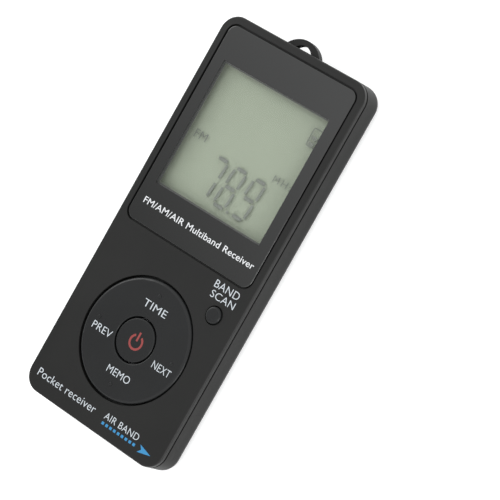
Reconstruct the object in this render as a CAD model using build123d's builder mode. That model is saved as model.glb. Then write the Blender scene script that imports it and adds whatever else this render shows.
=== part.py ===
from build123d import *
import os

# Pocket airband radio, lying on its back.  Millimetres.
# Origin: centre of the flat back face.  +X right, +Y towards the lanyard eye, +Z out of the display.

os.makedirs("parts", exist_ok=True)

# ---- driving dimensions: the case ----
width = 42.4
length = 98.0
thick = 9.2
corner_r = 4.4
face_edge_r = 0.4
back_edge_r = 3.0
wall = 1.3

# ---- heights of the layers, from the back face up ----
floor_z = wall
seam_z = 7.45            # top of the rear shell
band_z = 7.95            # bottom of the front shell's outer band
lip_z = 6.2              # bottom of the front shell's inner lip
plate_z = 7.9            # underside of the front wall
ledge_z = 7.4            # underside of the ledge round the display
seat_z = 8.45            # seat of the lens tape
lens_z = 8.6             # underside of the lens
board_z = 4.6            # underside of the circuit board
board_top_z = 5.4
mat_z = 5.75             # underside of the keypad mat
mat_top_z = 6.05
film_thick = 0.1         # each polariser and the reflector
guide_z = board_top_z + film_thick
rear_film_z = 6.2
rear_pane_z = rear_film_z + film_thick
rear_pane_top_z = 6.7    # a thin gap above it holds the liquid crystal
front_pane_z = 6.72
front_film_z = 7.1
front_film_top_z = front_film_z + film_thick

# ---- seam between the two shells ----
groove_depth = 0.8
lip_gap = 0.15
lip_wall = 0.9
lip_width = width - 2 * (wall + lip_gap)
lip_length = length - 2 * (wall + lip_gap)
lip_r = corner_r - wall - lip_gap

# ---- display ----
lens_width = 38.0
lens_length = 50.0
lens_corner_r = 2.2
lens_y = 21.76
lens_gap = 0.4
window = 31.0
window_y = 22.54
pane_width = 34.0
pane_top_y = 39.4
pane_ledge_y = 2.6       # bottom edge of the front pane, with the contact strip
pane_bottom_y = 5.6      # bottom edge of the rear pane
film_width = pane_width
film_top_y = 39.3
guide_bottom_y = 6.3
window_margin = 0.6      # the opening behind the lens is larger than the printed window,
window_side_margin = 1.0 # and more so at its sides, so that its walls stay out of sight
holder_width = 36.4
holder_low_y = 1.6
holder_high_y = 40.6
holder_rim = 0.9
holder_play = 0.1        # all round the panes
lens_edge_r = 0.25
ledge_over = 0.7         # ledge beyond the lens, at top and bottom
tape_inset = 0.2         # all round, from the lens's edge to its tape
tape_play = 0.2          # all round, from the opening's edge to the tape
gasket_rim = 0.6         # gasket beyond the opening, at top and bottom
gasket_play = 0.1        # all round, from the opening's edge to the gasket
guide_thick = 0.65       # the light guide, and the LEDs that light its edge
led_pitch = 16.0
led_size = (3.0, 1.1)
elastomer_size = (30.0, 1.8)
contact_strip_y = 3.8
led_y = 5.55

# ---- keys ----
dial_y = -26.25
dial_r = 14.6
dial_bore_r = 5.5
dial_gap = 0.4
dial_top_z = thick + 0.12
dial_flange_r = 15.4
dial_edge_r = 0.8
dial_low_z = 6.7
dial_flange_thick = 0.75
dial_foot_r = 1.2
dial_bore_edge_r = 0.25
dial_core_outer_r = 13.0 # the dial is cored from below, between these radii
dial_core_inner_r = 7.6
dial_core_depth = 1.3
dial_flange_root = 0.5   # the flange starts this far inside the dial's wall
dot_ring_r = 11.4
dot_r = 0.42
dot_height = 0.2
dot_edge_r = 0.17
pivot_z = 6.25
pivot_thick = 0.25
pivot_r = 7.3
pivot_bore_r = 5.7
power_low_z = 6.6
power_skin = 1.1
power_core_depth = 1.4
power_edge_r = 0.3
power_r = 5.1
power_top_z = thick + 0.08
scan_x = 14.68
scan_y = -11.85
scan_r = 2.0
scan_gap = 0.25
scan_low_z = 6.8
scan_flange = 0.8
scan_flange_thick = 0.7
scan_foot_r = 1.0
scan_top_z = thick + 0.6
scan_edge_r = 0.55
scan_foot_root = 0.1     # its foot runs this far up into the flange
foot_top_z = 8.1         # feet of the dial and of the power key run up into their tops
key_foot_z = 6.35        # lowest point of every front key
dome_r = 2.0
dome_height = 0.25
dome_edge_r = 0.2
mat_scan_r = 3.4
mat_rim = 0.9

# ---- screws ----
case_screw_x = 16.5
case_screw_y = 43.0
case_screw_r = 0.8
case_head_r = 1.5
case_boss_r = 1.9
case_boss_z = 2.4        # where the bosses of the two shells meet
case_screw_bite = 4.2    # depth of the screw hole in the front shell's boss
case_screw_length = 5.1  # below the head
screw_head_z = 0.15      # the heads lie a little below the back face
screw_seat_z = 1.15
screw_play = 0.02        # all round, between a screw and its hole
board_screw_r = 0.55
board_post_r = 1.6
board_screw_bite = 1.7
board_screw_length = 2.3
board_head_r = 1.15
board_head_thick = 0.6
case_cross = (1.9, 0.42) # length and width of each bar of the cross recess
case_cross_depth = 0.55
board_cross = (1.4, 0.32)
board_cross_depth = 0.35
boss_over = 0.2          # the rear boss is this much wider than the front one
case_screw_clear = 0.15  # all round the screw, in the rear shell
case_head_clear = 0.1
board_screw_clear = 0.2

# ---- lanyard eye, on the top wall ----
eye_z = 5.6
eye_thick = 1.7
eye_half = 5.0
eye_foot_y = length / 2 - 0.4
eye_tip_y = length / 2 + 2.45
eye_hole_half = 2.2
eye_hole_y = length / 2 + 0.05
eye_hole_rise = 1.1
board_screw_points = [(-16.9, -10.0), (16.9, -3.0), (3.0, 43.5), (-9.0, -44.5), (9.0, -44.5)]

# ---- sockets ----
jack_x = -11.0
jack_z = 3.35
jack_bore_r = 1.8
jack_width = 6.0
jack_height = 4.0
jack_back_y = 35.2
jack_front_y = length / 2 - wall - 0.05
jack_back_wall = 0.9
contact_width = 1.4
charge_width = 7.6
charge_height = 2.7
charge_skin = 0.3
charge_back = 0.4
charge_z = 3.2
opening_play = 0.25      # all round the charging socket
past_wall = 1.0          # cutters start this far outside the case
jack_opening_play = 0.3
charge_corner_r = 0.8
tongue_width = 4.6
tongue_thick = 0.6
tongue_rise = 0.25       # above the middle of the socket
tongue_short = 1.2       # how far the tongue stays behind the socket's mouth
charge_back_y = -43.0
charge_front_y = -length / 2 + 0.6

# ---- side keys, in the left wall ----
left_x = -width / 2
side_key_z = 4.3
side_key_length = 7.0
side_key_height = 2.4
side_key_proud = 0.5
side_key_play = 0.2      # all round, in the wall
side_flange = 0.5        # thickness of the flange inside the wall
volume_keys = {"volume_up": 22.0, "volume_down": 12.5}
lock_y = -4.5
lock_travel = 2.0
lock_mid_y = lock_y + lock_travel / 2
lock_knob = 4.4
lock_stem = 2.4
lock_recess = 0.5
lock_recess_play = 0.3   # all round the knob
side_switch_x = -18.5    # outer face of the side switches
side_switch_z = 3.75
side_switch_height = 1.7
side_switch_deep = 2.2
side_key_r = 1.1
side_key_opening_r = 1.3
side_key_edge_r = 0.35
side_key_root = 0.2      # the key runs this far past the wall's inner face
side_flange_play = 0.1   # between that face and the flanges
side_flange_over = (1.4, 1.0)
plunger_size = (1.4, 0.9)
plunger_reach = 0.75     # out from the switch
lever_size = (1.1, 0.8)
lever_reach = 0.65
push_length = 1.15       # of each plunger and of the lever

# ---- battery and aerial ----
battery_width = 25.0
battery_length = 50.0
battery_thick = 3.0
battery_x = -2.9
battery_y = 5.0
battery_pad_thick = 0.2
battery_plug_x = -12.3
battery_plug_y = -29.0
battery_socket_y = -31.5
lead_ys = (-28.0, -26.2, -23.8, -21.95)  # plug, first bend, second bend, battery circuit
lead_bend_r = 1.6
circuit_thick = 0.6
battery_edge_r = 1.1
circuit_z = 3.1
lead_r = 0.35
lead_z = 3.4
ferrite_width = 6.6
ferrite_thick = 2.4
ferrite_length = 40.0
ferrite_x = 15.1
ferrite_y = 20.5
ferrite_z = 2.95
ferrite_corner_r = 0.6
coil_build = 0.3         # thickness of the winding
coil_length = 20.0
rib_root = 0.2           # ribs and bosses run this far into the floor
rib_height = 1.6
end_rib = (14.0, 0.8)    # above and below the battery
side_rib = (0.7, 36.0)
rib_gap = 0.7            # from the battery's ends to the middle of their ribs
side_rib_gap = 0.6
cradle = (8.0, 1.4)
cradle_inset = 2.0       # from the ends of the ferrite bar

# ---- circuit board ----
board_width = 37.2
board_length = 93.6
board_corner_x = 4.7     # cut away at each corner for the case screw bosses
board_corner_y = 6.4
shield_side = 15.0
shield_height = 1.8
shield_skin = 0.2
shield_centre = (2.0, -31.5)
jack_notch_y = 42.0
jack_notch_length = 14.2
jack_notch_play = 0.3
small_chip = (1.6, 0.8)  # footprint of a ceramic capacitor or a resistor
small_pitch = 1.9

case_screw_points = GridLocations(2 * case_screw_x, 2 * case_screw_y, 2, 2)
dial_points = [
    (dot_ring_r, dial_y),
    (-dot_ring_r, dial_y),
    (0, dial_y + dot_ring_r),
    (0, dial_y - dot_ring_r),
]


# ==== case ====

with BuildPart() as front_shell:
    # outer band, neck in the seam groove, and the lip that enters the rear shell
    with BuildSketch(Plane.XY.offset(band_z)):
        RectangleRounded(width, length, corner_r)
    extrude(amount=thick - band_z)
    fillet(front_shell.faces().sort_by(Axis.Z)[-1].edges(), face_edge_r)
    with BuildSketch(Plane.XY.offset(seam_z)):
        RectangleRounded(width - 2 * groove_depth, length - 2 * groove_depth, corner_r - groove_depth)
    extrude(amount=band_z - seam_z)
    with BuildSketch(Plane.XY.offset(lip_z)):
        RectangleRounded(lip_width, lip_length, lip_r)
    extrude(amount=seam_z - lip_z)
    # hollow below the front wall
    with BuildSketch(Plane.XY.offset(lip_z)):
        RectangleRounded(lip_width - 2 * lip_wall, lip_length - 2 * lip_wall, lip_r - lip_wall)
    extrude(amount=plate_z - lip_z, mode=Mode.SUBTRACT)
    # ledge behind the lens, with the window opening
    with BuildSketch(Plane.XY.offset(ledge_z)):
        with Locations((0, lens_y - window_margin)):
            Rectangle(lip_width - lip_wall, lens_length + 2 * ledge_over)
    extrude(amount=plate_z - ledge_z)
    with BuildSketch(Plane.XY.offset(ledge_z)):
        with Locations((0, window_y)):
            RectangleRounded(window + 2 * window_side_margin, window + 2 * window_margin, window_margin)
    extrude(amount=thick - ledge_z, mode=Mode.SUBTRACT)
    with BuildSketch(Plane.XY.offset(seat_z)):
        with Locations((0, lens_y)):
            RectangleRounded(lens_width + 2 * lens_gap, lens_length + 2 * lens_gap, lens_corner_r + lens_gap)
    extrude(amount=thick - seat_z, mode=Mode.SUBTRACT)
    # openings for the dial and the scan key
    with BuildSketch(Plane.XY.offset(plate_z)):
        with Locations((0, dial_y)):
            Circle(dial_r + dial_gap)
        with Locations((scan_x, scan_y)):
            Circle(scan_r + scan_gap)
    extrude(amount=thick - plate_z, mode=Mode.SUBTRACT)
    # bosses for the case screws and posts for the board screws
    with BuildSketch(Plane.XY.offset(case_boss_z)):
        with case_screw_points:
            Circle(case_boss_r)
    extrude(amount=plate_z - case_boss_z)
    with BuildSketch(Plane.XY.offset(board_top_z)):
        with Locations(*board_screw_points):
            Circle(board_post_r)
    extrude(amount=plate_z - board_top_z)
    with BuildSketch(Plane.XY.offset(case_boss_z)):
        with case_screw_points:
            Circle(case_screw_r)
    extrude(amount=case_screw_bite, mode=Mode.SUBTRACT)
    with BuildSketch(Plane.XY.offset(board_top_z)):
        with Locations(*board_screw_points):
            Circle(board_screw_r)
    extrude(amount=board_screw_bite, mode=Mode.SUBTRACT)
front_shell.part.label = "front_shell"
export_step(front_shell.part, "parts/front_shell.step")

with BuildPart() as rear_shell:
    with BuildSketch():
        RectangleRounded(width, length, corner_r)
    extrude(amount=seam_z)
    fillet(rear_shell.faces().sort_by(Axis.Z)[0].edges(), back_edge_r)
    offset(amount=-wall, openings=rear_shell.faces().sort_by(Axis.Z)[-1])
    # lanyard eye on the top wall
    with BuildSketch(Plane.XY.offset(eye_z)):
        with BuildLine():
            ThreePointArc((-eye_half, eye_foot_y), (0, eye_tip_y), (eye_half, eye_foot_y))
            Line((eye_half, eye_foot_y), (-eye_half, eye_foot_y))
        make_face()
        with BuildLine():
            hole_top_y = eye_hole_y + eye_hole_rise
            ThreePointArc((-eye_hole_half, eye_hole_y), (0, hole_top_y), (eye_hole_half, eye_hole_y))
            Line((eye_hole_half, eye_hole_y), (-eye_hole_half, eye_hole_y))
        make_face(mode=Mode.SUBTRACT)
    extrude(amount=eye_thick)
    # bosses and recesses for the case screws
    with BuildSketch(Plane.XY.offset(floor_z - rib_root)):
        with case_screw_points:
            Circle(case_boss_r + boss_over)
    extrude(amount=case_boss_z - floor_z + rib_root)
    with Locations(Plane((0, 0, 0), z_dir=(0, 0, -1))):
        with case_screw_points:
            hole_r, head_hole_r = case_screw_r + case_screw_clear, case_head_r + case_head_clear
            CounterBoreHole(hole_r, head_hole_r, screw_seat_z, case_boss_z)
    # low ribs round the battery, and the two cradles of the ferrite bar
    with BuildSketch(Plane.XY.offset(floor_z - rib_root)):
        with Locations((battery_x, battery_y)):
            with GridLocations(0, battery_length + 2 * rib_gap, 1, 2):
                Rectangle(*end_rib)
            with Locations((battery_width / 2 + side_rib_gap, 0)):
                Rectangle(*side_rib)
        with Locations((ferrite_x, ferrite_y)):
            with GridLocations(0, ferrite_length - 2 * cradle_inset, 1, 2):
                Rectangle(*cradle)
    extrude(amount=rib_root + rib_height)
    with BuildSketch(Plane.XZ.offset(-ferrite_y)):
        with Locations((ferrite_x, ferrite_z)):
            Rectangle(ferrite_width + 0.1, ferrite_thick)
    extrude(amount=ferrite_length / 2, both=True, mode=Mode.SUBTRACT)
    # headphone opening in the top wall, charging opening in the bottom wall
    with BuildSketch(Plane.XZ.offset(-length / 2 - past_wall)):
        with Locations((jack_x, jack_z)):
            Circle(jack_bore_r + jack_opening_play)
    extrude(amount=wall + 2.3, mode=Mode.SUBTRACT)
    with BuildSketch(Plane.XZ.offset(length / 2 + past_wall)):
        with Locations((0, charge_z)):
            opening_width, opening_height = charge_width + 2 * opening_play, charge_height + 2 * opening_play
            RectangleRounded(opening_width, opening_height, charge_corner_r)
    extrude(amount=-wall - 2 * past_wall, mode=Mode.SUBTRACT)
    # openings for the side keys and the lock slider, in the left wall
    with BuildSketch(Plane.YZ.offset(left_x - past_wall)):
        with Locations(*[(y, side_key_z) for y in volume_keys.values()]):
            slot_length = side_key_length + 2 * side_key_play
            slot_height = side_key_height + 2 * side_key_play
            RectangleRounded(slot_length, slot_height, side_key_opening_r)
        with Locations((lock_mid_y, side_key_z)):
            RectangleRounded(lock_stem + lock_travel + 2 * side_key_play, 1.6, 0.4)
    extrude(amount=wall + 1.5 * past_wall, mode=Mode.SUBTRACT)
    with BuildSketch(Plane.YZ.offset(left_x)):
        with Locations((lock_mid_y, side_key_z)):
            recess_length = lock_knob + lock_travel + 2 * lock_recess_play
            RectangleRounded(recess_length, side_key_height + 2 * lock_recess_play, 1.2)
    extrude(amount=lock_recess, mode=Mode.SUBTRACT)
rear_shell.part.label = "rear_shell"
export_step(rear_shell.part, "parts/rear_shell.step")

with BuildPart() as case_screws:
    with BuildSketch(Plane.XY.offset(screw_head_z)):
        with case_screw_points:
            Circle(case_head_r)
    extrude(amount=screw_seat_z - screw_head_z)
    with BuildSketch(Plane.XY.offset(screw_seat_z)):
        with case_screw_points:
            Circle(case_screw_r - screw_play)
    extrude(amount=case_screw_length)
    # cross recess in each head
    with BuildSketch(Plane.XY.offset(screw_head_z)):
        with case_screw_points:
            Rectangle(*case_cross)
            Rectangle(*case_cross[::-1])
    extrude(amount=case_cross_depth, mode=Mode.SUBTRACT)
case_screws.part.label = "case_screws"
export_step(case_screws.part, "parts/case_screws.step")


# ==== display ====

with BuildPart() as display_lens:
    with BuildSketch(Plane.XY.offset(lens_z)):
        with Locations((0, lens_y)):
            RectangleRounded(lens_width, lens_length, lens_corner_r)
    extrude(amount=thick - lens_z)
    fillet(display_lens.faces().sort_by(Axis.Z)[-1].edges(), lens_edge_r)
display_lens.part.label = "display_lens"
export_step(display_lens.part, "parts/display_lens.step")

with BuildPart() as lens_tape:
    with BuildSketch(Plane.XY.offset(seat_z)):
        with Locations((0, lens_y)):
            RectangleRounded(lens_width - 2 * tape_inset, lens_length - 2 * tape_inset, lens_corner_r)
        with Locations((0, window_y)):
            tape_width = window + 2 * (window_side_margin + tape_play)
            tape_length = window + 2 * (window_margin + tape_play)
            RectangleRounded(tape_width, tape_length, window_margin, mode=Mode.SUBTRACT)
    extrude(amount=lens_z - seat_z)
lens_tape.part.label = "lens_tape"
export_step(lens_tape.part, "parts/lens_tape.step")

with BuildPart() as lcd_gasket:
    with BuildSketch(Plane.XY.offset(front_film_top_z)):
        with Locations((0, window_y)):
            Rectangle(film_width, window + 2 * (window_margin + gasket_rim))
            gasket_width = window + 2 * (window_side_margin + gasket_play)
            gasket_length = window + 2 * (window_margin + gasket_play)
            Rectangle(gasket_width, gasket_length, mode=Mode.SUBTRACT)
    extrude(amount=ledge_z - front_film_top_z)
lcd_gasket.part.label = "lcd_gasket"
export_step(lcd_gasket.part, "parts/lcd_gasket.step")

# Each flat layer of the display: bottom, thickness, width, bottom edge, top edge.
display_layers = {
    "front_polariser": (front_film_z, film_thick, film_width, pane_bottom_y, film_top_y),
    "lcd_front_pane": (front_pane_z, front_film_z - front_pane_z, pane_width, pane_ledge_y, pane_top_y),
    "lcd_rear_pane": (rear_pane_z, rear_pane_top_z - rear_pane_z, pane_width, pane_bottom_y, pane_top_y),
    "rear_polariser": (rear_film_z, film_thick, film_width, pane_bottom_y + film_thick, film_top_y),
    "light_guide": (guide_z, guide_thick, film_width, guide_bottom_y, film_top_y),
    "reflector_sheet": (board_top_z, film_thick, film_width, guide_bottom_y, film_top_y),
}
for layer_name, (layer_z, layer_t, layer_w, low_y, high_y) in display_layers.items():
    with BuildPart() as layer:
        with BuildSketch(Plane.XY.offset(layer_z)):
            with Locations((0, (low_y + high_y) / 2)):
                Rectangle(layer_w, high_y - low_y)
        extrude(amount=layer_t)
    layer.part.label = layer_name
    export_step(layer.part, f"parts/{layer_name}.step")

with BuildPart() as backlight_leds:
    with BuildSketch(Plane.XY.offset(board_top_z)):
        with Locations((0, led_y)):
            with GridLocations(led_pitch, 0, 2, 1):
                Rectangle(*led_size)
    extrude(amount=guide_thick)
backlight_leds.part.label = "backlight_leds"
export_step(backlight_leds.part, "parts/backlight_leds.step")

with BuildPart() as lcd_holder:
    with BuildSketch(Plane.XY.offset(board_top_z)):
        with Locations((0, (holder_low_y + holder_high_y) / 2)):
            RectangleRounded(holder_width, holder_high_y - holder_low_y, 0.8)
        with Locations((0, (holder_low_y + holder_high_y) / 2 - holder_play)):
            inner_length = holder_high_y - holder_low_y - 2 * (holder_rim + holder_play)
            Rectangle(pane_width + 2 * holder_play, inner_length, mode=Mode.SUBTRACT)
    extrude(amount=front_film_z - board_top_z)
lcd_holder.part.label = "lcd_holder"
export_step(lcd_holder.part, "parts/lcd_holder.step")

with BuildPart() as elastomer_connector:
    with BuildSketch(Plane.XY.offset(board_top_z)):
        with Locations((0, contact_strip_y)):
            Rectangle(*elastomer_size)
    extrude(amount=front_pane_z - board_top_z)
elastomer_connector.part.label = "elastomer_connector"
export_step(elastomer_connector.part, "parts/elastomer_connector.step")


# ==== front keys ====

with BuildPart() as dial_ring:
    with BuildSketch(Plane.XY.offset(dial_low_z)):
        with Locations((0, dial_y)):
            Circle(dial_r)
            Circle(dial_bore_r, mode=Mode.SUBTRACT)
    extrude(amount=dial_top_z - dial_low_z)
    top_edges = dial_ring.faces().sort_by(Axis.Z)[-1].edges().sort_by(SortBy.RADIUS)
    fillet(top_edges[-1], dial_edge_r)
    fillet(dial_ring.faces().sort_by(Axis.Z)[-1].edges().sort_by(SortBy.RADIUS)[0], dial_bore_edge_r)
    # flange under the front wall
    with BuildSketch(Plane.XY.offset(dial_low_z)):
        with Locations((0, dial_y)):
            Circle(dial_flange_r)
            Circle(dial_r - dial_flange_root, mode=Mode.SUBTRACT)
    extrude(amount=dial_flange_thick)
    # cored underside, with one foot over each switch
    with BuildSketch(Plane.XY.offset(dial_low_z)):
        with Locations((0, dial_y)):
            Circle(dial_core_outer_r)
            Circle(dial_core_inner_r, mode=Mode.SUBTRACT)
    extrude(amount=dial_core_depth, mode=Mode.SUBTRACT)
    with BuildSketch(Plane.XY.offset(key_foot_z)):
        with Locations(*dial_points):
            Circle(dial_foot_r)
    extrude(amount=foot_top_z - key_foot_z)
    # a raised dot at each of the four press points
    with BuildSketch(Plane.XY.offset(dial_top_z)):
        with Locations(*dial_points):
            Circle(dot_r)
    dots = extrude(amount=dot_height)
    fillet(dots.faces().sort_by(Axis.Z)[-4:].edges(), dot_edge_r)
dial_ring.part.label = "dial_ring"
export_step(dial_ring.part, "parts/dial_ring.step")

with BuildPart() as dial_pivot_ring:
    with BuildSketch(Plane.XY.offset(pivot_z)):
        with Locations((0, dial_y)):
            Circle(pivot_r)
            Circle(pivot_bore_r, mode=Mode.SUBTRACT)
    extrude(amount=pivot_thick)
dial_pivot_ring.part.label = "dial_pivot_ring"
export_step(dial_pivot_ring.part, "parts/dial_pivot_ring.step")

with BuildPart() as power_key:
    with BuildSketch(Plane.XY.offset(power_low_z)):
        with Locations((0, dial_y)):
            Circle(power_r)
    extrude(amount=power_top_z - power_low_z)
    fillet(power_key.faces().sort_by(Axis.Z)[-1].edges(), power_edge_r)
    with BuildSketch(Plane.XY.offset(power_low_z)):
        with Locations((0, dial_y)):
            Circle(power_r - power_skin)
    extrude(amount=power_core_depth, mode=Mode.SUBTRACT)
    with BuildSketch(Plane.XY.offset(key_foot_z)):
        with Locations((0, dial_y)):
            Circle(dial_foot_r)
    extrude(amount=foot_top_z - key_foot_z)
power_key.part.label = "power_key"
export_step(power_key.part, "parts/power_key.step")

with BuildPart() as band_scan_key:
    with BuildSketch(Plane.XY.offset(scan_low_z)):
        with Locations((scan_x, scan_y)):
            Circle(scan_r)
    extrude(amount=scan_top_z - scan_low_z)
    fillet(band_scan_key.faces().sort_by(Axis.Z)[-1].edges(), scan_edge_r)
    with BuildSketch(Plane.XY.offset(scan_low_z)):
        with Locations((scan_x, scan_y)):
            Circle(scan_r + scan_flange)
    extrude(amount=scan_flange_thick)
    with BuildSketch(Plane.XY.offset(key_foot_z)):
        with Locations((scan_x, scan_y)):
            Circle(scan_foot_r)
    extrude(amount=scan_low_z + scan_foot_root - key_foot_z)
band_scan_key.part.label = "band_scan_key"
export_step(band_scan_key.part, "parts/band_scan_key.step")

with BuildPart() as keypad_mat:
    # sheet with a rim that stands on the board
    with BuildSketch(Plane.XY.offset(board_top_z)):
        with Locations((0, dial_y)):
            Circle(dial_flange_r)
        with Locations((scan_x, scan_y)):
            Circle(mat_scan_r)
        make_hull()
    extrude(amount=mat_top_z - board_top_z)
    with BuildSketch(Plane.XY.offset(board_top_z)):
        with Locations((0, dial_y)):
            Circle(dial_flange_r - mat_rim)
        with Locations((scan_x, scan_y)):
            Circle(mat_scan_r - mat_rim)
        make_hull()
    extrude(amount=mat_z - board_top_z, mode=Mode.SUBTRACT)
keypad_mat.part.label = "keypad_mat"
export_step(keypad_mat.part, "parts/keypad_mat.step")

with BuildPart() as dome_switches:
    with BuildSketch(Plane.XY.offset(board_top_z)):
        with Locations(*dial_points, (0, dial_y), (scan_x, scan_y)):
            Circle(dome_r)
    extrude(amount=dome_height)
    fillet(dome_switches.faces().filter_by(Axis.Z).group_by(Axis.Z)[-1].edges(), dome_edge_r)
dome_switches.part.label = "dome_switches"
export_step(dome_switches.part, "parts/dome_switches.step")


# ==== side keys ====

for key_name, key_y in volume_keys.items():
    with BuildPart() as volume_key:
        with BuildSketch(Plane.YZ.offset(left_x - side_key_proud)):
            with Locations((key_y, side_key_z)):
                RectangleRounded(side_key_length, side_key_height, side_key_r)
        extrude(amount=side_key_proud + wall + side_key_root)
        fillet(volume_key.faces().sort_by(Axis.X)[0].edges(), side_key_edge_r)
        with BuildSketch(Plane.YZ.offset(left_x + wall + side_flange_play)):
            with Locations((key_y, side_key_z)):
                over_length, over_height = side_flange_over
                RectangleRounded(side_key_length + over_length, side_key_height + over_height, side_key_r)
        extrude(amount=side_flange)
    volume_key.part.label = f"{key_name}_key"
    export_step(volume_key.part, f"parts/{key_name}_key.step")

    with BuildPart() as plunger:
        with BuildSketch(Plane.YZ.offset(side_switch_x - plunger_reach)):
            with Locations((key_y, side_switch_z)):
                Rectangle(*plunger_size)
        extrude(amount=push_length)
    plunger.part.label = f"{key_name}_plunger"
    export_step(plunger.part, f"parts/{key_name}_plunger.step")

with BuildPart() as volume_switches:
    with BuildSketch(Plane.YZ.offset(side_switch_x)):
        with Locations(*[(y, board_z - side_switch_height / 2) for y in volume_keys.values()]):
            Rectangle(4.6, side_switch_height)
    extrude(amount=side_switch_deep)
    with BuildSketch(Plane.YZ.offset(side_switch_x)):
        with Locations(*[(y, side_switch_z) for y in volume_keys.values()]):
            Rectangle(1.6, 1.1)
    extrude(amount=1.0, mode=Mode.SUBTRACT)
volume_switches.part.label = "volume_switches"
export_step(volume_switches.part, "parts/volume_switches.step")

with BuildPart() as lock_slider:
    # knob in the recess, stem through the slot, plate and fork inside
    with BuildSketch(Plane.YZ.offset(left_x - 0.3)):
        with Locations((lock_y, side_key_z)):
            RectangleRounded(lock_knob, side_key_height, 1.0)
    extrude(amount=0.7)
    fillet(lock_slider.faces().sort_by(Axis.X)[0].edges(), 0.25)
    with BuildSketch(Plane.YZ.offset(left_x + 0.4)):
        with Locations((lock_y, side_key_z)):
            Rectangle(lock_stem, 1.2)
    extrude(amount=wall - 0.3)
    with BuildSketch(Plane.YZ.offset(left_x + wall + 0.1)):
        with Locations((lock_y, side_key_z)):
            Rectangle(5.2, 3.0)
    extrude(amount=0.55)
    with BuildSketch(Plane.YZ.offset(left_x + wall + 0.6)):
        with Locations((lock_y, side_switch_z)):
            with GridLocations(1.9, 0, 2, 1):
                Rectangle(0.6, 1.4)
    extrude(amount=0.6)
lock_slider.part.label = "lock_slider"
export_step(lock_slider.part, "parts/lock_slider.step")

with BuildPart() as lock_lever:
    with BuildSketch(Plane.YZ.offset(side_switch_x - lever_reach)):
        with Locations((lock_y, side_switch_z)):
            Rectangle(*lever_size)
    extrude(amount=push_length)
lock_lever.part.label = "lock_lever"
export_step(lock_lever.part, "parts/lock_lever.step")

with BuildPart() as lock_switch:
    with BuildSketch(Plane.YZ.offset(side_switch_x)):
        with Locations((lock_mid_y, board_z - side_switch_height / 2)):
            Rectangle(7.0, side_switch_height)
    extrude(amount=side_switch_deep)
    with BuildSketch(Plane.YZ.offset(side_switch_x)):
        with Locations((lock_mid_y, side_switch_z)):
            Rectangle(1.1 + lock_travel + 0.4, 1.0)
    extrude(amount=0.7, mode=Mode.SUBTRACT)
lock_switch.part.label = "lock_switch"
export_step(lock_switch.part, "parts/lock_switch.step")


# ==== main board and what is soldered to it ====

with BuildPart() as main_board:
    with BuildSketch(Plane.XY.offset(board_z)):
        RectangleRounded(board_width, board_length, 1.0)
        # corners cut away for the case screw bosses, and a notch for the headphone jack
        with GridLocations(board_width, board_length, 2, 2):
            Rectangle(2 * board_corner_x, 2 * board_corner_y, mode=Mode.SUBTRACT)
        with Locations((jack_x, jack_notch_y)):
            Rectangle(jack_width + 2 * jack_notch_play, jack_notch_length, mode=Mode.SUBTRACT)
        with Locations(*board_screw_points):
            Circle(board_screw_r + board_screw_clear, mode=Mode.SUBTRACT)
    extrude(amount=board_top_z - board_z)
main_board.part.label = "main_board"
export_step(main_board.part, "parts/main_board.step")

with BuildPart() as board_screws:
    with BuildSketch(Plane.XY.offset(board_z - board_head_thick)):
        with Locations(*board_screw_points):
            Circle(board_head_r)
    extrude(amount=board_head_thick)
    with BuildSketch(Plane.XY.offset(board_z)):
        with Locations(*board_screw_points):
            Circle(board_screw_r - screw_play)
    extrude(amount=board_screw_length)
    with BuildSketch(Plane.XY.offset(board_z - board_head_thick)):
        with Locations(*board_screw_points):
            Rectangle(*board_cross)
            Rectangle(*board_cross[::-1])
    extrude(amount=board_cross_depth, mode=Mode.SUBTRACT)
board_screws.part.label = "board_screws"
export_step(board_screws.part, "parts/board_screws.step")

with BuildPart() as radio_shield:
    inner_height = shield_height - shield_skin
    inner_side = shield_side - 2 * shield_skin
    with BuildSketch(Plane.XY.offset(board_z - shield_height)):
        with Locations(shield_centre):
            RectangleRounded(shield_side, shield_side, 0.6)
    extrude(amount=shield_height)
    with BuildSketch(Plane.XY.offset(board_z - inner_height)):
        with Locations(shield_centre):
            RectangleRounded(inner_side, inner_side, 0.4)
    extrude(amount=inner_height, mode=Mode.SUBTRACT)
radio_shield.part.label = "radio_shield"
export_step(radio_shield.part, "parts/radio_shield.step")

with BuildPart() as receiver_chip:
    with BuildSketch(Plane.XY.offset(board_z - 0.9)):
        with Locations(shield_centre):
            Rectangle(5.0, 5.0)
    extrude(amount=0.9)
receiver_chip.part.label = "receiver_chip"
export_step(receiver_chip.part, "parts/receiver_chip.step")

# Leaded chips: centre, body width and length, body height, leads a side, lead pitch.
leaded_chips = {
    "controller_chip": ((14.3, -31.0), (5.6, 7.0), 1.4, 8, 0.8),
    "audio_amplifier_chip": ((14.3, -17.5), (3.9, 4.9), 1.3, 4, 1.1),
    "charger_chip": ((6.0, 35.6), (3.0, 4.9), 1.1, 4, 1.1),
}
for chip_name, (centre, (body_w, body_l), body_h, leads, pitch) in leaded_chips.items():
    with BuildPart() as chip:
        with BuildSketch(Plane.XY.offset(board_z - body_h)):
            with Locations(centre):
                Rectangle(body_w, body_l)
        extrude(amount=body_h - 0.1)
        with BuildSketch(Plane.XY.offset(board_z - 0.3)):
            with Locations(centre):
                with GridLocations(0, pitch, 1, leads):
                    Rectangle(body_w + 1.2, pitch * 0.4)
        extrude(amount=0.3)
    chip.part.label = chip_name
    export_step(chip.part, f"parts/{chip_name}.step")

with BuildPart() as main_crystal:
    with BuildSketch(Plane.XY.offset(board_z - 0.8)):
        with Locations((14.3, -24.0)):
            RectangleRounded(3.2, 2.5, 0.3)
    extrude(amount=0.8)
main_crystal.part.label = "main_crystal"
export_step(main_crystal.part, "parts/main_crystal.step")

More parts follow.
